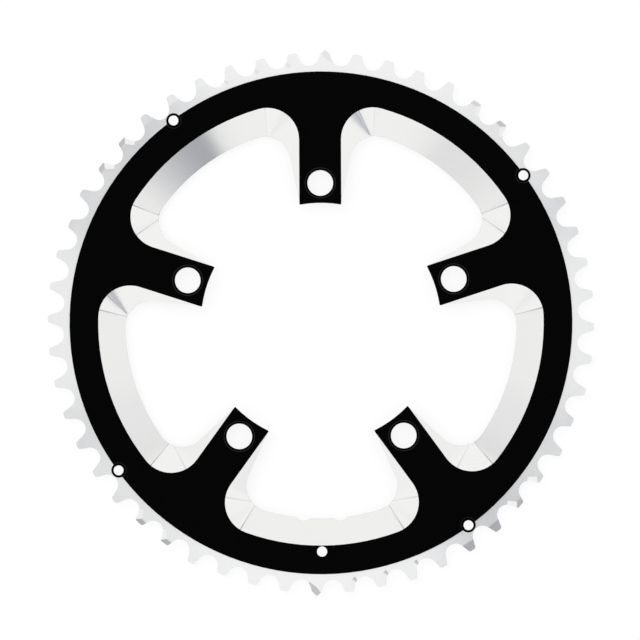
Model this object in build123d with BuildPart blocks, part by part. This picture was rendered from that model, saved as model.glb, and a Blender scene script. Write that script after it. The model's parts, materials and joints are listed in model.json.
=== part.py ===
# Outer chainring for a two-ring road crank, lying on its back with the front face up.
# The ring turns about Z. The origin is the centre of the bolt circle, on the tabs' rear seats.
import os
from math import atan, cos, degrees, radians, sin, tan

from build123d import *

os.makedirs("parts", exist_ok=True)

# Chain and tooth form, in millimetres and degrees
CHAIN_PITCH = 12.7
TOOTH_COUNT = 52
ROLLER_SEAT_RADIUS = 3.96
FLANK_LEAN = 21.6
TALL_TIP_ABOVE_PITCH = 2.32
SHORT_TIP_ABOVE_PITCH = 1.25
TIP_CORNER = 0.4
TOOTH_THICKNESS = 2.1
FIRST_TOOTH_ANGLE = 88.86

# Bevels that thin the teeth towards their tips
TIP_BEVEL_BELOW_PITCH = 1.2
FRONT_TIP_BEVEL_DEPTH = 0.55
REAR_TIP_BEVEL_DEPTH = 0.45

# Shift gates: in each half turn the same teeth are cut short, and two by each pin are faceted
SHIFT_GATES = 4
SHORT_TEETH_IN_HALF_TURN = (1, 2, 3, 5, 6, 16, 18, 19, 24, 25)
FACETED_TEETH_IN_GATE = (5, 6)
FACET_BELOW_PITCH = 0.8
FACET_CAP_SLOPE = 25
FACET_FLANK_SLOPE = 18
FACET_FLANK_TURN = -55
FACET_WIDTH = 7.5
FACET_REACH = 4.5

# One tall tooth in each half turn comes to a point, with a facet across its front
POINTED_TOOTH_IN_HALF_TURN = 0
POINT_HALF_ANGLE = 48
POINT_FACET_BELOW_PITCH = 1.1
POINT_FACET_SLOPE = 22
POINT_FACET_TURN = -35

# Scoops on the last teeth of each half turn, on the flank that faces the tooth before
SCOOPED_TEETH_IN_HALF_TURN = (23, 24, 25)
SCOOP_RADIUS = 3.9
SCOOP_DEPTH = 1.3
SCOOP_FROM_ROLLER = 2.0
SCOOP_BELOW_PITCH = 0.9

# Flat front band, the windows and their bevels
FACE_BELOW_PITCH = 6.31
FACE_BAND = 11.32
BEVEL_WIDTH = 10.45
BEVEL_DEPTH = 2.8
BEVEL_FOOT_CORNER = 2.05
WINDOW_CORNER = 9.85
WINDOW_FLARE = 11.5

# Tabs and bolt circle
TAB_COUNT = 5
TOP_TAB_ANGLE = 90
BOLT_CIRCLE = 110
BOLT_HOLE = 10.1
BOLT_SEAT = 11.9
BOLT_SEAT_DEPTH = 0.4
TAB_END_BELOW_BOLTS = 7.8
TAB_WIDTH = 16.5
TAB_THICKNESS = 3.5
TAB_SEAT_ABOVE_BOLTS = 9.0

# Depth of the ring behind the tab seats, and of the teeth in front of the ring's back
RING_BEHIND_SEAT = 0.6
TEETH_IN_FROM_BACK = 0.15

# Shift pins
PIN_ANGLE = 35.8
PIN_BELOW_FACE_EDGE = 0.47
PIN_DIAMETER = 4.0
PIN_FIT = 0.02
PIN_POCKET = 5.9
PIN_POCKET_BELOW_TEETH = 0.6
PIN_END_BELOW_FACE = 0.3
PIN_HEAD = 5.6
PIN_HEAD_HEIGHT = 1.5

# Ramps behind the ring, each rising to the deep end beside its pin
RAMP_LENGTH = 14.0
RAMP_WIDTH = 5.0
RAMP_DEPTH = 0.6
RAMP_FROM_PIN = 3.8
RAMP_BELOW_PIN = 2.5

# Pin that keeps a dropped chain off the crank arm
DROP_PIN_ANGLE = 270
DROP_PIN_DIAMETER = 4.0
DROP_PIN_SHANK = 3.0
DROP_PIN_HEIGHT = 5.0
DROP_PIN_FROM_BEVEL = 0.25
DROP_PIN_EDGE = 0.4

# Two shallow scallops in the inner edge of the lowest window
SCALLOP_ANGLE = 5.5
SCALLOP_RADIUS = 3.6
SCALLOP_DEPTH = 1.2

# Radii that follow from the sizes above
pitch_radius = CHAIN_PITCH / (2 * sin(radians(180 / TOOTH_COUNT)))
tooth_pitch = 360 / TOOTH_COUNT
first_gap_angle = FIRST_TOOTH_ANGLE - tooth_pitch / 2
tall_tip = pitch_radius + TALL_TIP_ABOVE_PITCH
short_tip = pitch_radius + SHORT_TIP_ABOVE_PITCH
face_edge = pitch_radius - FACE_BELOW_PITCH
bevel_top = face_edge - FACE_BAND
window_radius = bevel_top - BEVEL_WIDTH
bolt_radius = BOLT_CIRCLE / 2
tab_end = bolt_radius - TAB_END_BELOW_BOLTS
seat_edge = bolt_radius + TAB_SEAT_ABOVE_BOLTS
pin_circle = face_edge - PIN_BELOW_FACE_EDGE
drop_pin_circle = bevel_top + DROP_PIN_FROM_BEVEL + DROP_PIN_DIAMETER / 2
scallop_circle = window_radius + SCALLOP_DEPTH - SCALLOP_RADIUS

# Heights that follow from the sizes above
front = TAB_THICKNESS
back = -RING_BEHIND_SEAT
tooth_back = back + TEETH_IN_FROM_BACK
tooth_front = tooth_back + TOOTH_THICKNESS
pocket_floor = tooth_front - PIN_POCKET_BELOW_TEETH
half_window = 180 / TAB_COUNT
first_window = TOP_TAB_ANGLE + half_window


def window_face(radius, corner, half_width, flare):
    """Window between two tabs, its middle on X, with sides that flare from the tabs' ends."""
    spread = tan(radians(half_window))
    lean = tan(radians(flare))
    along = (half_width - tab_end * lean) / (spread - lean)
    far = 2 * radius
    across = half_width + (far - tab_end) * lean
    tab_x = cos(radians(half_window))
    tab_y = sin(radians(half_window))
    far_corner = (far * tab_x + across * tab_y, far * tab_y - across * tab_x)
    with BuildSketch() as window:
        Circle(radius)
        with BuildLine():
            Polyline((along / tab_x, 0), far_corner, (far_corner[0], -far_corner[1]), close=True)
        make_face(mode=Mode.INTERSECT)
        fillet(window.vertices().group_by(Axis.X)[-1], corner)
    return window.sketch


# One gap between teeth, on X: a roller seat with a straight flank on each side
flank_x = sin(radians(FLANK_LEAN))
flank_y = cos(radians(FLANK_LEAN))
flank_length = 2 * TALL_TIP_ABOVE_PITCH + ROLLER_SEAT_RADIUS
seat_side = (pitch_radius - ROLLER_SEAT_RADIUS * flank_x, ROLLER_SEAT_RADIUS * flank_y)
gap_mouth = (seat_side[0] + flank_length * flank_y, seat_side[1] + flank_length * flank_x)
with BuildSketch() as tooth_gap:
    with BuildLine():
        Line((gap_mouth[0], -gap_mouth[1]), (seat_side[0], -seat_side[1]))
        ThreePointArc(
            (seat_side[0], -seat_side[1]),
            (pitch_radius - ROLLER_SEAT_RADIUS, 0),
            seat_side,
        )
        Line(seat_side, gap_mouth)
        Line(gap_mouth, (gap_mouth[0], -gap_mouth[1]))
    make_face()

# Outline of all the teeth, some of them cut short for shifting, with their tips' corners taken off
half_turn = TOOTH_COUNT // 2
short_teeth = [tooth + turn * half_turn for turn in range(2) for tooth in SHORT_TEETH_IN_HALF_TURN]
pointed_teeth = [POINTED_TOOTH_IN_HALF_TURN + turn * half_turn for turn in range(2)]
with BuildSketch() as tooth_outline:
    RegularPolygon(tall_tip, TOOTH_COUNT, major_radius=False, rotation=first_gap_angle)
    with PolarLocations(0, TOOTH_COUNT, first_gap_angle):
        add(tooth_gap.sketch, mode=Mode.SUBTRACT)
    for tooth in short_teeth:
        with PolarLocations(short_tip, 1, FIRST_TOOTH_ANGLE - tooth * tooth_pitch):
            Rectangle(CHAIN_PITCH, CHAIN_PITCH / 2, align=(Align.MIN, Align.CENTER), mode=Mode.SUBTRACT)
    corners = tooth_outline.vertices()
    chamfer(corners.filter_by(lambda corner: Vector(corner).length > short_tip - TIP_CORNER), TIP_CORNER)
    for tooth in pointed_teeth:
        with PolarLocations(tall_tip, 1, FIRST_TOOTH_ANGLE - tooth * tooth_pitch):
            for side in (POINT_HALF_ANGLE - 90, 90 - POINT_HALF_ANGLE):
                Rectangle(CHAIN_PITCH / 2, CHAIN_PITCH / 2, side, (Align.MIN, Align.CENTER), Mode.SUBTRACT)

# Plate of the teeth, with a flat bevel on the front and on the back of every tip
bevel_start = pitch_radius - TIP_BEVEL_BELOW_PITCH
bevel_run = tall_tip - bevel_start
looking_forward = Plane((0, 0, tooth_back), x_dir=(1, 0, 0), z_dir=(0, 0, 1))
looking_back = Plane((0, 0, tooth_front), x_dir=(1, 0, 0), z_dir=(0, 0, -1))
tip_bevels = (
    (looking_forward, FRONT_TIP_BEVEL_DEPTH, first_gap_angle),
    (looking_back, REAR_TIP_BEVEL_DEPTH, -first_gap_angle),
)
with BuildPart() as tooth_plate:
    with BuildSketch(looking_forward):
        add(tooth_outline.sketch)
    extrude(amount=TOOTH_THICKNESS)
    for base, depth, corner_angle in tip_bevels:
        spread = bevel_run / depth
        base_size = bevel_start + TOOTH_THICKNESS * spread
        with BuildSketch(base):
            RegularPolygon(base_size, TOOTH_COUNT, major_radius=False, rotation=corner_angle)
        extrude(amount=TOOTH_THICKNESS, taper=degrees(atan(spread)), mode=Mode.INTERSECT)

# Pocket milled round one window, upside down: one slope on ring, corners and tab sides
with BuildPart() as bevel_pocket:
    with BuildSketch():
        add(window_face(bevel_top, BEVEL_FOOT_CORNER + BEVEL_WIDTH, TAB_WIDTH / 2, 0))
    extrude(amount=BEVEL_DEPTH, taper=degrees(atan(BEVEL_WIDTH / BEVEL_DEPTH)))

# The ring, cut from plate with its teeth, tabs and windows in one piece
with BuildPart() as chainring:
    with BuildSketch(Plane.XY.offset(back)):
        Circle(face_edge)
    extrude(amount=front - back)
    add(tooth_plate.part)

    # Facets on the two teeth that lead up to each pin, a steep cap and a slope on one flank, and
    # one facet on each pointed tooth
    facets = []
    for tooth in pointed_teeth:
        facets.append((tooth, POINT_FACET_BELOW_PITCH, POINT_FACET_TURN, POINT_FACET_SLOPE))
    for gate in range(SHIFT_GATES):
        for tooth in FACETED_TEETH_IN_GATE:
            place = round(gate * TOOTH_COUNT / SHIFT_GATES) + tooth
            facets.append((place, FACET_BELOW_PITCH, 0, FACET_CAP_SLOPE))
            facets.append((place, FACET_BELOW_PITCH, FACET_FLANK_TURN, FACET_FLANK_SLOPE))
    for tooth, below_pitch, turn, slope in facets:
        tooth_frame = Location((0, 0, tooth_front), (0, 0, FIRST_TOOTH_ANGLE - tooth * tooth_pitch))
        facet_frame = tooth_frame * Location((pitch_radius - below_pitch, 0, 0), (0, 0, turn))
        with BuildSketch(Plane(facet_frame * Location((0, 0, 0), (0, slope, 0)))):
            Rectangle(FACET_REACH, FACET_WIDTH, align=(Align.MIN, Align.CENTER))
    extrude(amount=TOOTH_THICKNESS, mode=Mode.SUBTRACT)

    # Scoops, each a blunt cone set off from the roller towards its tooth
    scoops = []
    for turn in range(2):
        for tooth in SCOOPED_TEETH_IN_HALF_TURN:
            gaps_along = tooth + turn * half_turn - 1
            gap_frame = Location((0, 0, tooth_front), (0, 0, first_gap_angle - gaps_along * tooth_pitch))
            scoops.append(gap_frame * Location((pitch_radius - SCOOP_BELOW_PITCH, -SCOOP_FROM_ROLLER, 0)))
    with Locations(*scoops):
        Cone(
            0,
            SCOOP_RADIUS,
            SCOOP_DEPTH,
            align=(Align.CENTER, Align.CENTER, Align.MAX),
            mode=Mode.SUBTRACT,
        )

    # Ramps behind the ring that lead the chain up to each pin
    ramp_tilt = degrees(atan(RAMP_DEPTH / RAMP_LENGTH))
    ramp_circle = pin_circle - RAMP_BELOW_PIN
    for gate in range(SHIFT_GATES):
        pin_frame = Location((0, 0, back), (0, 0, PIN_ANGLE + gate * 360 / SHIFT_GATES))
        deep_end = Location((ramp_circle, RAMP_FROM_PIN, RAMP_DEPTH), (-ramp_tilt, 0, 0))
        with BuildSketch(Plane(pin_frame * deep_end)):
            Rectangle(RAMP_WIDTH, RAMP_LENGTH, align=(Align.CENTER, Align.MIN))
    extrude(amount=-2 * RAMP_DEPTH, mode=Mode.SUBTRACT)

    # Five bevels, then the through windows and the opening between the tabs' ends
    with Locations(Plane.XY.offset(front)):
        with PolarLocations(0, TAB_COUNT, first_window):
            add(bevel_pocket.part, rotation=(180, 0, 0), mode=Mode.SUBTRACT)
    with BuildSketch(Plane.XY.offset(back)):
        Circle(tab_end)
        with PolarLocations(0, TAB_COUNT, first_window):
            add(window_face(window_radius, WINDOW_CORNER, TAB_WIDTH / 2, WINDOW_FLARE))
        for scallop_angle in (DROP_PIN_ANGLE - SCALLOP_ANGLE, DROP_PIN_ANGLE + SCALLOP_ANGLE):
            with PolarLocations(scallop_circle, 1, scallop_angle):
                Circle(SCALLOP_RADIUS)
    extrude(amount=front - back, mode=Mode.SUBTRACT)

    # Seats behind the tabs for the crank's arms
    with BuildSketch(Plane.XY.offset(back)):
        Circle(seat_edge)
    extrude(amount=RING_BEHIND_SEAT, mode=Mode.SUBTRACT)

    # Bolt holes with shallow seats, pin holes with deep pockets, and the drop pin's hole
    with Locations(Plane.XY.offset(front)):
        with PolarLocations(bolt_radius, TAB_COUNT, TOP_TAB_ANGLE):
            CounterBoreHole(BOLT_HOLE / 2, BOLT_SEAT / 2, BOLT_SEAT_DEPTH)
        with PolarLocations(pin_circle, SHIFT_GATES, PIN_ANGLE):
            CounterBoreHole(PIN_DIAMETER / 2, PIN_POCKET / 2, front - pocket_floor)
        with PolarLocations(drop_pin_circle, 1, DROP_PIN_ANGLE):
            Hole(DROP_PIN_SHANK / 2)

chainring.part.label = "chainring"
export_step(chainring.part, "parts/chainring.step")

# Shift pins: a head behind the ring, a shank through it and an end that shows in front
for number in range(1, SHIFT_GATES + 1):
    angle = PIN_ANGLE + (number - 1) * 360 / SHIFT_GATES
    pin_axis = Vector(pin_circle, 0, 0).rotate(Axis.Z, angle)
    with BuildPart() as shift_pin:
        with BuildSketch(Plane(pin_axis + Vector(0, 0, back))):
            Circle(PIN_HEAD / 2)
        extrude(amount=-PIN_HEAD_HEIGHT)
        with BuildSketch(Plane(pin_axis + Vector(0, 0, back))):
            Circle(PIN_DIAMETER / 2 - PIN_FIT)
        extrude(amount=front - PIN_END_BELOW_FACE - back)
    shift_pin.part.label = f"shift_pin_{number}"
    export_step(shift_pin.part, f"parts/shift_pin_{number}.step")

# Drop pin: a thin shank pressed through the ring, and a stud that sits on the front face
drop_axis = Vector(drop_pin_circle, 0, 0).rotate(Axis.Z, DROP_PIN_ANGLE)
with BuildPart() as chain_drop_pin:
    with BuildSketch(Plane(drop_axis + Vector(0, 0, back))):
        Circle(DROP_PIN_SHANK / 2 - PIN_FIT)
    extrude(amount=front - back)
    with BuildSketch(Plane(drop_axis + Vector(0, 0, front))):
        Circle(DROP_PIN_DIAMETER / 2)
    extrude(amount=DROP_PIN_HEIGHT)
    chamfer(chain_drop_pin.edges().group_by(Axis.Z)[-1], DROP_PIN_EDGE)

chain_drop_pin.part.label = "chain_drop_pin"
export_step(chain_drop_pin.part, "parts/chain_drop_pin.step")
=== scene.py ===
import json
import math

import bmesh
import bpy
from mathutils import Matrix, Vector


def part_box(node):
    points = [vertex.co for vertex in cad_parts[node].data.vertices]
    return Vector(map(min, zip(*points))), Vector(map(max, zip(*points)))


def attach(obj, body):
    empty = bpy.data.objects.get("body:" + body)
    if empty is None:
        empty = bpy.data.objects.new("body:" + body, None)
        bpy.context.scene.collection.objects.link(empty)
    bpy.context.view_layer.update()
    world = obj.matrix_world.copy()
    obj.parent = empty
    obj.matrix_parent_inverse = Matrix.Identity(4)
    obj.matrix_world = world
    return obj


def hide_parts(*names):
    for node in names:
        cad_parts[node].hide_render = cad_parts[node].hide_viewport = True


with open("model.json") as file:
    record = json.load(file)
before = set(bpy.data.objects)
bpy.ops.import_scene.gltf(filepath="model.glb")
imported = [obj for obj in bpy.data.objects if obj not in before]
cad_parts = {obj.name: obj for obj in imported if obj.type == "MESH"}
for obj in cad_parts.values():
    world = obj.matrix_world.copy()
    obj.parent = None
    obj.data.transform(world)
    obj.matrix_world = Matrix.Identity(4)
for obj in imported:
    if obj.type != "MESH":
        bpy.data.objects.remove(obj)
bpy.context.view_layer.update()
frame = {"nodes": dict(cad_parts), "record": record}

# The chainring: one piece cut from aluminium plate, anodised black all over. The teeth were then
# turned bright on a lathe and the slopes round the windows milled bright, so that bare metal shows
# there. Five bolts through its tabs hold it to the crank.
MM = 0.001
BLACK, TURNED, MILLED = range(3)

# Where the finishes change: the black face's radius, a pin pocket's radius and the slopes' depth
FACE_EDGE = 98.87 * MM
PIN_POCKET = 2.95 * MM
BEVEL_DEPTH = 2.8 * MM

# The upright part of a face's normal tells flat faces, facets and walls apart
FLAT = 0.9995
FACETED = math.cos(math.radians(15))
UPRIGHT = 0.2

# How far the mesh may stray from an arc and from a level, what is welded, and what is shaded smooth
ARC_SAG = 0.3 * MM
LEVEL_SLACK = 0.01 * MM
WELD = 0.001 * MM
CREASE_ANGLE = math.radians(7)

shift_pins = [name for name in frame["nodes"] if name.startswith("shift_pin")]
pin_axes = [((low + high) / 2).xy for low, high in map(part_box, sorted(shift_pins))]
ring_low, ring_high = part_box("chainring")
bevel_foot = ring_high.z - BEVEL_DEPTH


def put_in_scene(name, data):
    placed = bpy.data.objects.new(name, data)
    bpy.context.scene.collection.objects.link(placed)
    return placed


def is_flat(face):
    return abs(face.normal.z) > FLAT


def finish_of(face):
    """Which of the ring's three finishes a face was left with."""
    centre = face.calc_center_median()
    radius = centre.xy.length
    upright = abs(face.normal.z) < UPRIGHT
    if min((centre.xy - axis).length for axis in pin_axes) < PIN_POCKET:
        return BLACK
    if radius > FACE_EDGE and UPRIGHT < face.normal.z < FACETED:
        return MILLED
    if radius > FACE_EDGE or (upright and radius > FACE_EDGE - ARC_SAG):
        return TURNED
    if is_flat(face) and abs(centre.z - bevel_foot) < LEVEL_SLACK:
        return MILLED
    return BLACK if upright or is_flat(face) else MILLED


def runs_on(first, second):
    """Whether two faces have one finish and meet so gently that the surface runs on."""
    same_finish = first.material_index == second.material_index
    same_kind = is_flat(first) == is_flat(second)
    return same_finish and same_kind and first.normal.angle(second.normal, 0.0) < CREASE_ANGLE


shape = bmesh.new()
shape.from_mesh(frame["nodes"]["chainring"].data)
bmesh.ops.remove_doubles(shape, verts=shape.verts, dist=WELD)
shape.normal_update()
for face in shape.faces:
    face.smooth = True
    face.material_index = finish_of(face)
for edge in shape.edges:
    edge.smooth = edge.is_manifold and runs_on(*edge.link_faces)
ring_mesh = bpy.data.meshes.new("chainring_finished")
shape.to_mesh(ring_mesh)
shape.free()
ring = put_in_scene("chainring_finished", ring_mesh)


class Wire:
    """A socket in a node tree: arithmetic on it adds Math nodes, and node() adds any other kind."""

    def __init__(self, tree, socket=None):
        self.tree = tree
        self.socket = socket

    def node(self, kind, settings=None, inputs=None, output=0):
        """A new node's output, once its settings are made and its sockets have their values or links."""
        made = self.tree.nodes.new(kind)
        for name, value in (settings or {}).items():
            if name == "index_switch_items":
                for _ in range(value - len(made.index_switch_items)):
                    made.index_switch_items.new()
            else:
                setattr(made, name, value)
        for name, value in (inputs or {}).items():
            if isinstance(value, Wire):
                self.tree.links.new(value.socket, made.inputs[name])
            else:
                made.inputs[name].default_value = value
        return Wire(self.tree, made.outputs[output] if made.outputs else None)

    def math(self, operation, *values):
        inputs = dict(enumerate((self, *values)))
        return self.node("ShaderNodeMath", {"operation": operation}, inputs)

    def step(self, start, end):
        """0 where this is at start, 1 where it is at end, smooth between."""
        inputs = {"Value": self, "From Min": start, "From Max": end}
        return self.node("ShaderNodeMapRange", {"interpolation_type": "SMOOTHSTEP"}, inputs)

    def near(self, middle, inner, outer):
        """1 where this is within inner of the middle, 0 where it is past outer, smooth between."""
        return 1 - abs(self - middle).step(inner, outer)

    def axes(self):
        """X, Y and Z of this vector."""
        return [self.node("ShaderNodeSeparateXYZ", inputs={0: self}, output=axis) for axis in range(3)]

    def __add__(self, other):
        return self.math("ADD", other)

    def __sub__(self, other):
        return self.math("SUBTRACT", other)

    def __rsub__(self, other):
        return self.math("MULTIPLY", -1).math("ADD", other)

    def __mul__(self, other):
        return self.math("MULTIPLY", other)

    def __truediv__(self, other):
        return self.math("DIVIDE", other)

    def __abs__(self):
        return self.math("ABSOLUTE")

    __radd__ = __add__
    __rmul__ = __mul__


def new_finish(name):
    """An empty material, and the wire without a socket that its nodes start from."""
    finish = bpy.data.materials.new(name)
    finish.use_nodes = True
    finish.node_tree.nodes.clear()
    return finish, Wire(finish.node_tree)


def place_on(start):
    """Object coordinates as three wires."""
    return start.node("ShaderNodeTexCoord", output="Object").axes()


def length(x, y):
    return (x * x + y * y).math("SQRT")


def fold(x, y, first_angle, step):
    """Along and across the nearest of equally spaced axes through the ring's centre."""
    turns = (y.math("ARCTAN2", x) - first_angle) / step
    angle = abs(turns - turns.math("ROUND")) * step
    radius = length(x, y)
    return radius * angle.math("COSINE"), radius * angle.math("SINE")


def from_axes(x, y, circle, first_angle, count):
    """Distance to the nearest of equally spaced axes that stand on a circle round the ring's centre."""
    along, across = fold(x, y, first_angle, math.tau / count)
    return length(along - circle, across)


def noise(start, scale, detail, along=None):
    """Noise in space, or in bands along one wire."""
    if along is None:
        where = start.node("ShaderNodeTexCoord", output="Object")
        return start.node("ShaderNodeTexNoise", inputs={"Vector": where, "Scale": scale, "Detail": detail})
    bands = {"W": along, "Scale": scale, "Detail": detail, "Roughness": 0.7}
    return start.node("ShaderNodeTexNoise", {"noise_dimensions": "1D"}, bands)


def mixed(start, mask, first, second):
    """The first colour where the mask is 0, and the second where it is 1."""
    return start.node("ShaderNodeMix", {"data_type": "RGBA"}, {0: mask, 6: first, 7: second}, output=2)


def bump(start, strength, depth, height):
    return start.node("ShaderNodeBump", inputs={"Strength": strength, "Distance": depth, "Height": height})


def skin(start, **inputs):
    sockets = {name.replace("_", " "): value for name, value in inputs.items()}
    return start.node("ShaderNodeBsdfPrincipled", inputs=sockets)


def surface(start, shader):
    start.node("ShaderNodeOutputMaterial", inputs={"Surface": shader})


# Black anodised skin: dye in an etched, matt surface. A thin grey line is painted on each sharp rim
# of the bolt seats and pin pockets as a painted highlight, for the light that the rim catches.
FULL_DYE = (0.0004, 0.0004, 0.0006, 1)
THIN_DYE = (0.0010, 0.0010, 0.0012, 1)
RIM_HIGHLIGHT_GREY = (0.035, 0.035, 0.037, 1)
GRAINS_PER_METRE = 9000
PATCHES_PER_METRE = 60
BOLT_SEAT = 5.95 * MM
RIM_HIGHLIGHT_WIDTH = 0.1 * MM
TOP_TAB = math.pi / 2
bolts = next(mount for mount in frame["record"]["mounts"] if mount["kind"] == "bolt_pattern")["dims"]
bolt_circle = bolts["pcd_mm"] * MM / 2
pin_circle = pin_axes[0].length
pin_angle = math.atan2(pin_axes[0].y, pin_axes[0].x)


# A painted highlight: a thin grey line along a rim at this distance from an axis
def painted_rim_highlight(distance, rim):
    return distance.near(rim, RIM_HIGHLIGHT_WIDTH / 2, RIM_HIGHLIGHT_WIDTH * 1.5)


def black_anodised():
    finish, start = new_finish("black_anodised")
    x, y, _ = place_on(start)
    # Painted highlights round the bolt seats and the pin pockets
    seat_highlight = painted_rim_highlight(from_axes(x, y, bolt_circle, TOP_TAB, bolts["count"]), BOLT_SEAT)
    pocket_highlight = painted_rim_highlight(from_axes(x, y, pin_circle, pin_angle, len(pin_axes)), PIN_POCKET)
    grain = noise(start, GRAINS_PER_METRE, detail=2)
    patches = noise(start, PATCHES_PER_METRE, detail=4)
    dye = mixed(start, patches, FULL_DYE, THIN_DYE)
    surface(start, skin(
        start,
        Base_Color=mixed(start, seat_highlight.math("MAXIMUM", pocket_highlight), dye, RIM_HIGHLIGHT_GREY),
        Roughness=0.26 + grain * 0.12 + patches * 0.08,
        Specular_IOR_Level=0.02,
        Normal=bump(start, strength=0.05, depth=0.02 * MM, height=grain),
    ))
    return finish


# Bare aluminium turned on a lathe: fine circular lines, which stretch every reflection outwards
TURNED_GREY = (0.86, 0.87, 0.87, 1)
TURNED_WHITE = (0.91, 0.91, 0.91, 1)
TURNED_LINES_PER_METRE = 2600
QUARTER_TURN = 0.25


def turned_aluminium():
    finish, start = new_finish("turned_aluminium")
    x, y, _ = place_on(start)
    lines = noise(start, TURNED_LINES_PER_METRE, detail=3, along=length(x, y))
    surface(start, skin(
        start,
        Base_Color=mixed(start, lines, TURNED_GREY, TURNED_WHITE),
        Metallic=1.0,
        Roughness=0.17 + lines * 0.05,
        Anisotropic=1.0,
        Anisotropic_Rotation=QUARTER_TURN,
        Normal=bump(start, strength=0.1, depth=0.01 * MM, height=lines),
    ))
    return finish


# Bare aluminium milled round the windows: fine lines along the slope. At each corner, where the cutter
# changed its path and left creases, thin dark lines of painted shade lie along the creases. The facets of
# the teeth are milled too.
MILLED_GREY = (0.86, 0.86, 0.85, 1)
MILLED_WHITE = (0.91, 0.91, 0.90, 1)
# The grey of the painted shade along the creases
CREASE_SHADE_GREY = (0.30, 0.30, 0.31, 1)
MILLED_LINES_PER_METRE = 6000
BEVEL_TOP = 87.55 * MM
BEVEL_CORNER = 12.5 * MM
TAB_HALF_WIDTH = 8.25 * MM
corner_across = TAB_HALF_WIDTH + BEVEL_CORNER
corner_along = math.sqrt((BEVEL_TOP - BEVEL_CORNER) ** 2 - corner_across ** 2)

# The painted crease shade runs out from a corner's centre, one line at each angle to the tab, and gets
# darker on the way
CREASE_SHADE_WIDTH = 0.35 * MM
CREASE_SHADE_BEGINS = (0, 1 * MM)
CREASE_SHADE_DARKENS = (4 * MM, 13 * MM)
FIRST_DARKNESS = 0.4
PATH_CREASE = math.radians(4)
MIDDLE_CREASE = math.radians(-26)
SIDE_CREASE = math.radians(-53)
LOW_CREASE = math.radians(-64)
CLEAR_CREASE_SHADE = 0.8
FAINT_CREASE_SHADE = 0.5
LOST_AT_TOP = 0.8
CREASE_SHADE_AMOUNT = 0.75
PATH_CHANGE = 0.1 * MM

# Parts of the ring, each given as where it begins and where it is reached in full
AT_TOP = (60 * MM, 65 * MM)
RIGHT_HALF = (0, 5 * MM)
FAR_LEFT = (-60 * MM, -65 * MM)
BELOW_SIDE_TABS = (20 * MM, 10 * MM)
ABOVE_LOW_TABS = (-20 * MM, -10 * MM)
OUT_AT_SIDES = (35 * MM, 45 * MM)
UPPER_HALF = (20 * MM, 30 * MM)
LOWER_HALF = (0, -20 * MM)


def corner_line(along, across, angle):
    """How far ahead of a corner's centre, and to the tab's side of a line from there, a spot lies."""
    ahead = (along - corner_along) * math.cos(angle) + (across - corner_across) * math.sin(angle)
    aside = (along - corner_along) * math.sin(angle) - (across - corner_across) * math.cos(angle)
    return ahead, aside


# One thin line of painted shade along a crease that runs out from a corner's centre
def crease_shade_line(along, across, angle):
    ahead, aside = corner_line(along, across, angle)
    darkness = FIRST_DARKNESS + ahead.step(*CREASE_SHADE_DARKENS) * (1 - FIRST_DARKNESS)
    return aside.near(0, CREASE_SHADE_WIDTH / 4, CREASE_SHADE_WIDTH) * darkness * ahead.step(*CREASE_SHADE_BEGINS)


def milled_aluminium():
    finish, start = new_finish("milled_aluminium")
    x, y, z = place_on(start)
    along, across = fold(x, y, TOP_TAB, math.tau / bolts["count"])
    on_tooth = length(x, y).step(BEVEL_TOP, FACE_EDGE)
    _, beside_path = corner_line(along, across, PATH_CREASE)
    on_corner = beside_path.step(-PATH_CHANGE, PATH_CHANGE).math("MAXIMUM", on_tooth)
    at_top = y.step(*AT_TOP)
    by_top_tab = x.step(*RIGHT_HALF) * at_top
    by_left_tab = x.step(*FAR_LEFT) * y.step(*BELOW_SIDE_TABS) * y.step(*ABOVE_LOW_TABS)
    up_at_sides = abs(x).step(*OUT_AT_SIDES) * y.step(*UPPER_HALF)
    # How dark the painted shade is on each crease, which differs round the ring with how the light falls
    # there
    strengths = {
        PATH_CREASE: 1 - at_top * LOST_AT_TOP,
        MIDDLE_CREASE: (by_top_tab + by_left_tab) * CLEAR_CREASE_SHADE,
        SIDE_CREASE: up_at_sides * CLEAR_CREASE_SHADE,
        LOW_CREASE: y.step(*LOWER_HALF) * FAINT_CREASE_SHADE,
    }
    crease_shade = 0.0
    for angle, strength in strengths.items():
        crease_shade = (crease_shade_line(along, across, angle) * strength).math("MAXIMUM", crease_shade)
    crease_shade = crease_shade * (1 - on_tooth)
    lines = noise(start, MILLED_LINES_PER_METRE, detail=3, along=z)
    bright = mixed(start, lines, MILLED_GREY, MILLED_WHITE)
    shared = {
        # Painted shade along the creases, mixed over the milled grey
        "Base_Color": mixed(start, crease_shade * CREASE_SHADE_AMOUNT, bright, CREASE_SHADE_GREY),
        "Metallic": 1.0,
        "Normal": bump(start, strength=0.2, depth=0.02 * MM, height=lines * 0.3 - crease_shade),
    }
    on_arc = skin(
        start, Roughness=0.15 + lines * 0.05, Anisotropic=1.0, Anisotropic_Rotation=QUARTER_TURN, **shared)
    off_arc = skin(start, Roughness=0.12 + lines * 0.05, **shared)
    surface(start, start.node("ShaderNodeMixShader", inputs={0: on_corner, 1: on_arc, 2: off_arc}))
    return finish


for finish in (black_anodised(), turned_aluminium(), milled_aluminium()):
    ring_mesh.materials.append(finish)
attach(ring, "root")
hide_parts("chainring")

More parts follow.
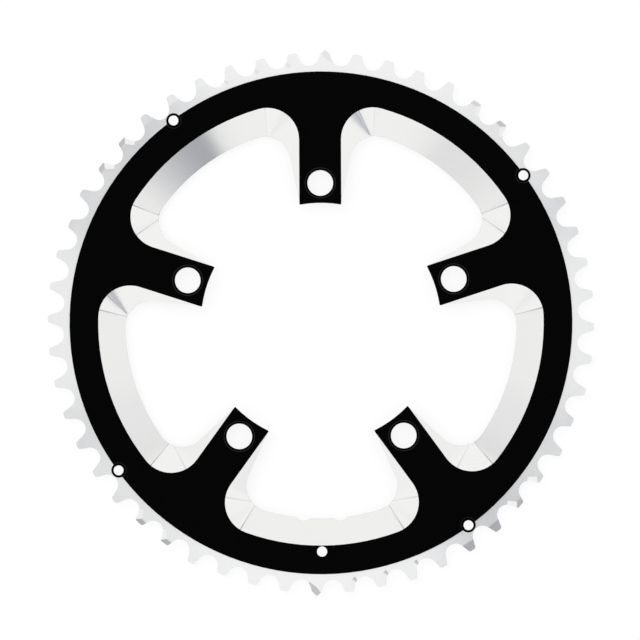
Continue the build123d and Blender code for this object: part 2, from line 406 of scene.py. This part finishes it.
# The shift pins: four steel rivets turned to a head and a shank, pressed through the ring from
# behind. The heads catch the chain and lift it, and the bright ends show in front.
STEEL_GREY = (0.95, 0.95, 0.95, 1)
STEEL_WHITE = (0.99, 0.99, 0.99, 1)
STEEL_RINGS_PER_METRE = 4000
PIN_SHANK = 1.98 * MM
PIN_EDGE = 0.1 * MM
PIN_SIDES = 48
PIN_CREASE = math.radians(30)
LATHE_INPUTS = {
    "Foot Radius": "NodeSocketFloat",
    "Top Radius": "NodeSocketFloat",
    "Foot": "NodeSocketFloat",
    "Step": "NodeSocketFloat",
    "Top": "NodeSocketFloat",
    "Edge": "NodeSocketFloat",
    "Circle": "NodeSocketFloat",
    "Angle": "NodeSocketFloat",
    "Count": "NodeSocketInt",
    "Finish": "NodeSocketMaterial",
}


def turned_steel(name, circle, angle, count):
    """Bright steel with the fine rings of a lathe round each of these pins' own axis."""
    finish, start = new_finish(name)
    x, y, z = place_on(start)
    from_axis = from_axes(x, y, circle, angle, count)
    rings = noise(start, STEEL_RINGS_PER_METRE, detail=3, along=from_axis + z)
    surface(start, skin(
        start,
        Base_Color=mixed(start, rings, STEEL_GREY, STEEL_WHITE),
        Metallic=1.0,
        Roughness=0.08 + rings * 0.06,
        Normal=bump(start, strength=0.05, depth=0.01 * MM, height=rings),
    ))
    return finish


def round_axis(start, radius, angle, level=0.0):
    """The point at this radius, angle and level."""
    return start.node("ShaderNodeCombineXYZ", inputs={
        "X": radius * angle.math("COSINE"), "Y": radius * angle.math("SINE"), "Z": level})


def pin_lathe():
    """Nodes that bend a grid into a pin, each row at one corner of its outline, and seat the pins."""
    group = bpy.data.node_groups.new("turned_pin", "GeometryNodeTree")
    for name, kind in LATHE_INPUTS.items():
        group.interface.new_socket(name, in_out="INPUT", socket_type=kind)
    group.interface.new_socket("Geometry", in_out="OUTPUT", socket_type="NodeSocketGeometry")
    start = Wire(group)
    given = group.nodes.new("NodeGroupInput")
    foot_radius, top_radius, foot, step, top, edge, circle, angle, count, finish = [
        Wire(group, given.outputs[name]) for name in LATHE_INPUTS]
    outline = (
        (0.0, foot), (foot_radius - edge, foot), (foot_radius, foot + edge), (foot_radius, step - edge),
        (foot_radius - edge, step), (top_radius, step), (top_radius, top - edge), (top_radius - edge, top),
        (0.0, top),
    )
    corners = {number: start.node("ShaderNodeCombineXYZ", inputs={"X": across, "Z": height})
               for number, (across, height) in enumerate(outline, 1)}
    grid = start.node("GeometryNodeMeshGrid", inputs={
        "Size X": 1.0, "Size Y": 1.0, "Vertices X": PIN_SIDES + 1, "Vertices Y": len(outline)})
    u, v, _ = start.node("GeometryNodeInputPosition").axes()
    row = ((v + 0.5) * (len(outline) - 1)).math("ROUND")
    corner = start.node(
        "GeometryNodeIndexSwitch", {"data_type": "VECTOR", "index_switch_items": len(outline)},
        {0: row, **corners})
    reach, _, level = corner.axes()
    bent = round_axis(start, reach, (u + 0.5) * math.tau, level)
    pin = start.node("GeometryNodeSetPosition", inputs={"Geometry": grid, "Position": bent})
    pin = start.node("GeometryNodeMergeByDistance", inputs={"Geometry": pin, "Distance": WELD})
    seat = round_axis(start, circle, start.node("GeometryNodeInputIndex") * math.tau / count + angle)
    seats = start.node("GeometryNodePoints", inputs={"Count": count, "Position": seat})
    seated = start.node("GeometryNodeInstanceOnPoints", inputs={"Points": seats, "Instance": pin})
    seated = start.node("GeometryNodeRealizeInstances", inputs={"Geometry": seated})
    seated = start.node("GeometryNodeSetMaterial", inputs={"Geometry": seated, "Material": finish})
    start.node("NodeGroupOutput", inputs={"Geometry": seated})
    return group


def turn_pins(name, sizes):
    """The pins that the lathe makes with these sizes, as one plain mesh."""
    piece = put_in_scene(name, bpy.data.meshes.new(name))
    modifier = piece.modifiers.new("lathe", "NODES")
    modifier.node_group = lathe
    for socket in lathe.interface.items_tree:
        if socket.in_out == "INPUT":
            modifier[socket.identifier] = sizes[socket.name]
    evaluated = piece.evaluated_get(bpy.context.evaluated_depsgraph_get())
    finished = bpy.data.meshes.new_from_object(evaluated)
    piece.modifiers.remove(modifier)
    piece.data = finished
    finished.shade_smooth()
    finished.set_sharp_from_angle(angle=PIN_CREASE)
    return piece


lathe = pin_lathe()
head_low, shank_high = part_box("shift_pin_1")
pins = turn_pins("shift_pins", {
    "Foot Radius": (shank_high.x - head_low.x) / 2,
    "Top Radius": PIN_SHANK,
    "Foot": head_low.z,
    "Step": ring_low.z,
    "Top": shank_high.z,
    "Edge": PIN_EDGE,
    "Circle": pin_circle,
    "Angle": pin_angle,
    "Count": len(pin_axes),
    "Finish": turned_steel("pin_steel", pin_circle, pin_angle, len(pin_axes)),
})
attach(pins, "root")
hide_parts(*shift_pins)

# The chain drop pin: a steel stud with a thin shank, pressed into the front face below the lowest
# window. It keeps a dropped chain from falling between the ring and the crank arm.
STUD_SHANK = 1.48 * MM
STUD_EDGE = 0.2 * MM
stud_low, stud_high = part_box("chain_drop_pin")
stud_axis = ((stud_low + stud_high) / 2).xy
stud_circle = stud_axis.length
stud_angle = math.atan2(stud_axis.y, stud_axis.x)
stud = turn_pins("drop_pin", {
    "Foot Radius": STUD_SHANK,
    "Top Radius": (stud_high.x - stud_low.x) / 2,
    "Foot": stud_low.z,
    "Step": ring_high.z,
    "Top": stud_high.z,
    "Edge": STUD_EDGE,
    "Circle": stud_circle,
    "Angle": stud_angle,
    "Count": 1,
    "Finish": turned_steel("stud_steel", stud_circle, stud_angle, 1),
})
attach(stud, "root")
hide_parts("chain_drop_pin")

# The floor: a sheet of white paper that the ring lies on. It glows for the camera and in reflections
# alone, so that it shows white without lighting the ring, and its dull skin keeps the ring's shadow.
FLOOR_SIZE = 4.0
PAPER_GLOW = 0.87
PAPER_GREY = (0.15, 0.15, 0.15, 1)
half = FLOOR_SIZE / 2
floor_level = min(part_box(name)[0].z for name in frame["nodes"])
floor_corners = [(-half, -half), (half, -half), (half, half), (-half, half)]


def white_paper():
    finish, start = new_finish("white_paper")
    seen = 0.0
    for ray in ("Is Camera Ray", "Is Glossy Ray", "Is Transmission Ray"):
        seen = start.node("ShaderNodeLightPath", output=ray).math("MAXIMUM", seen)
    glow = start.node("ShaderNodeEmission", inputs={"Strength": seen * PAPER_GLOW})
    matt = start.node("ShaderNodeBsdfDiffuse", inputs={"Color": PAPER_GREY})
    surface(start, start.node("ShaderNodeAddShader", inputs={0: glow, 1: matt}))
    return finish


floor_mesh = bpy.data.meshes.new("floor")
floor_mesh.from_pydata([(x, y, floor_level) for x, y in floor_corners], [], [range(4)])
floor_mesh.materials.append(white_paper())
floor = put_in_scene("floor", floor_mesh)

# The sky: white panels over the table, greyer at the sides and low down. The gaps between the panels
# are dark, and show in the bright metal as the dark bands on the teeth and slopes.
SKY_WHITE = (1, 1, 1, 1)
SIDE_GREY = (0.82, 0.82, 0.83, 1)
LOW_GREY = (0.42, 0.42, 0.43, 1)
CORNER_GREY = (0.12, 0.12, 0.12, 1)
GAP_BLUE = (0.05, 0.07, 0.15, 1)
TOP_GAP_BLUE = (0.06, 0.07, 0.12, 1)

# Parts of the sky, on a dome of radius 1, each given as where it begins and is reached in full
ABOVE_HORIZON = (0.05, 0.25)
TO_SIDES = (0.45, 1.0)
LOW_DOWN = (0.72, 0.4)
OFF_ZENITH = (0.03, 0.15)
FAR_OUT = (0.5, 0.75)
ROUND_TOP = (0.10, 0.16)
NEAR_TOP = (0.36, 0.28)
HALF_BLEND = 0.05

# Bearings in degrees from the left-right line, alike in every quarter, and strengths of the shade.
# Sets of three are for the lower sky, the upper sky and the lower right. A gap has its middle and
# how far from there its fading begins and ends.
PANEL_EDGE = (57, 39, 59.5)
PANEL_SHADE = (0.10, 0.05, 0.71)
SHADE_BEFORE_EDGE = (-24.64, 0)
SHADE_PAST_EDGE = (1.72, -1.15)
SHADE_AT_TOP = 1.9
SHADE_LOST_OUTWARDS = 2
CORNER_BEARING = (50, 42, 50)
CORNER_SHADE = (0.50, 0.35, 0.50)
CORNER_FADE = (5.16, 17.19)
WIDE_END = (68, 50)
WIDE_SHADE = 0.11
SIDE_START = (15, 24)
SIDE_END = (58, 46)
SIDE_SHADE = 0.22
SIDE_GAP = (24, 2, 5)
SIDE_GAP_SHADE = 0.75
UP_LEFT_GAP = (42, 3, 12)
UP_LEFT_SHADE = 0.5
LOW_RIGHT_GAP = (48, 4, 14)
LOW_RIGHT_SHADE = 0.8


def studio_sky():
    world = bpy.data.worlds.new("studio")
    world.use_nodes = True
    world.node_tree.nodes.clear()
    start = Wire(world.node_tree)
    x, y, z = start.node("ShaderNodeTexCoord", output="Generated").axes()
    out = length(x, y)
    bearing = abs(y.math("ARCTAN2", x)) * math.degrees(1)
    bearing = bearing.math("MINIMUM", 180 - bearing)
    right = x.step(-HALF_BLEND, HALF_BLEND)
    high = y.step(-HALF_BLEND, HALF_BLEND)
    low_right = right * (1 - high)
    up_left = (1 - right) * high

    def by_part(lower, upper, lower_right):
        return lower + high * (upper - lower) + low_right * (lower_right - lower)

    past_edge = bearing - by_part(*PANEL_EDGE)
    panel_gaps = past_edge.step(*SHADE_BEFORE_EDGE) * past_edge.step(*SHADE_PAST_EDGE)
    panel_gaps = panel_gaps * by_part(*PANEL_SHADE) * out.step(*OFF_ZENITH)
    panel_gaps = panel_gaps * (SHADE_AT_TOP - out * SHADE_LOST_OUTWARDS)
    corner_gaps = bearing.near(by_part(*CORNER_BEARING), *CORNER_FADE)
    corner_gaps = corner_gaps * by_part(*CORNER_SHADE) * out.step(*FAR_OUT)
    top_gaps = (
        bearing.step(*WIDE_END) * WIDE_SHADE
        + bearing.step(*SIDE_START) * bearing.step(*SIDE_END) * SIDE_SHADE
        + bearing.near(*SIDE_GAP) * SIDE_GAP_SHADE
        + bearing.near(*UP_LEFT_GAP) * up_left * UP_LEFT_SHADE
        + bearing.near(*LOW_RIGHT_GAP) * low_right * LOW_RIGHT_SHADE
    )
    above = z.step(*ABOVE_HORIZON)
    sky = SKY_WHITE
    for mask, colour in (
        (abs(x).step(*TO_SIDES) * above, SIDE_GREY),
        (z.step(*LOW_DOWN) * above, LOW_GREY),
        (corner_gaps * above, CORNER_GREY),
        (panel_gaps * above, GAP_BLUE),
        (top_gaps * out.step(*ROUND_TOP) * out.step(*NEAR_TOP), TOP_GAP_BLUE),
    ):
        sky = mixed(start, mask, sky, colour)
    background = start.node("ShaderNodeBackground", inputs={"Color": sky})
    start.node("ShaderNodeOutputWorld", inputs={"Surface": background})
    return world


bpy.context.scene.world = studio_sky()

# The lamp: one large softbox to the upper left of the ring. It is kept out of reflections, where the
# sky's own panels show instead.
LAMP_SIZE = 1.2
LAMP_POWER = 6
LAMP_PLACE = Vector((-0.7, 0.6, 1.1))
lamp_data = bpy.data.lights.new("softbox", "AREA")
lamp_data.size = LAMP_SIZE
lamp_data.energy = LAMP_POWER
lamp = put_in_scene("softbox", lamp_data)
lamp.location = LAMP_PLACE
lamp.rotation_euler = (-LAMP_PLACE).to_track_quat("-Z", "Y").to_euler()
lamp.visible_glossy = False

# The camera: straight above with a long lens from far back, so that the ring shows next to no depth.
# The photograph's frame has the ring's centre a little off its own, and the ring a little turned.
PIXEL = 0.3931 * MM
FRAME_PIXELS = 640
RING_AT = (320.95, 322.85)
RING_TURN = math.radians(0.29)
LENS = 500
SENSOR_WIDTH = 36
camera_data = bpy.data.cameras.new("camera")
camera_data.lens = LENS
camera_data.sensor_width = SENSOR_WIDTH
camera = put_in_scene("camera", camera_data)
camera.location = (
    (FRAME_PIXELS / 2 - RING_AT[0]) * PIXEL,
    (RING_AT[1] - FRAME_PIXELS / 2) * PIXEL,
    ring_high.z + FRAME_PIXELS * PIXEL * LENS / SENSOR_WIDTH,
)
camera.rotation_euler = (0, 0, -RING_TURN)
bpy.context.scene.camera = camera
bpy.context.scene.view_settings.view_transform = "Standard"
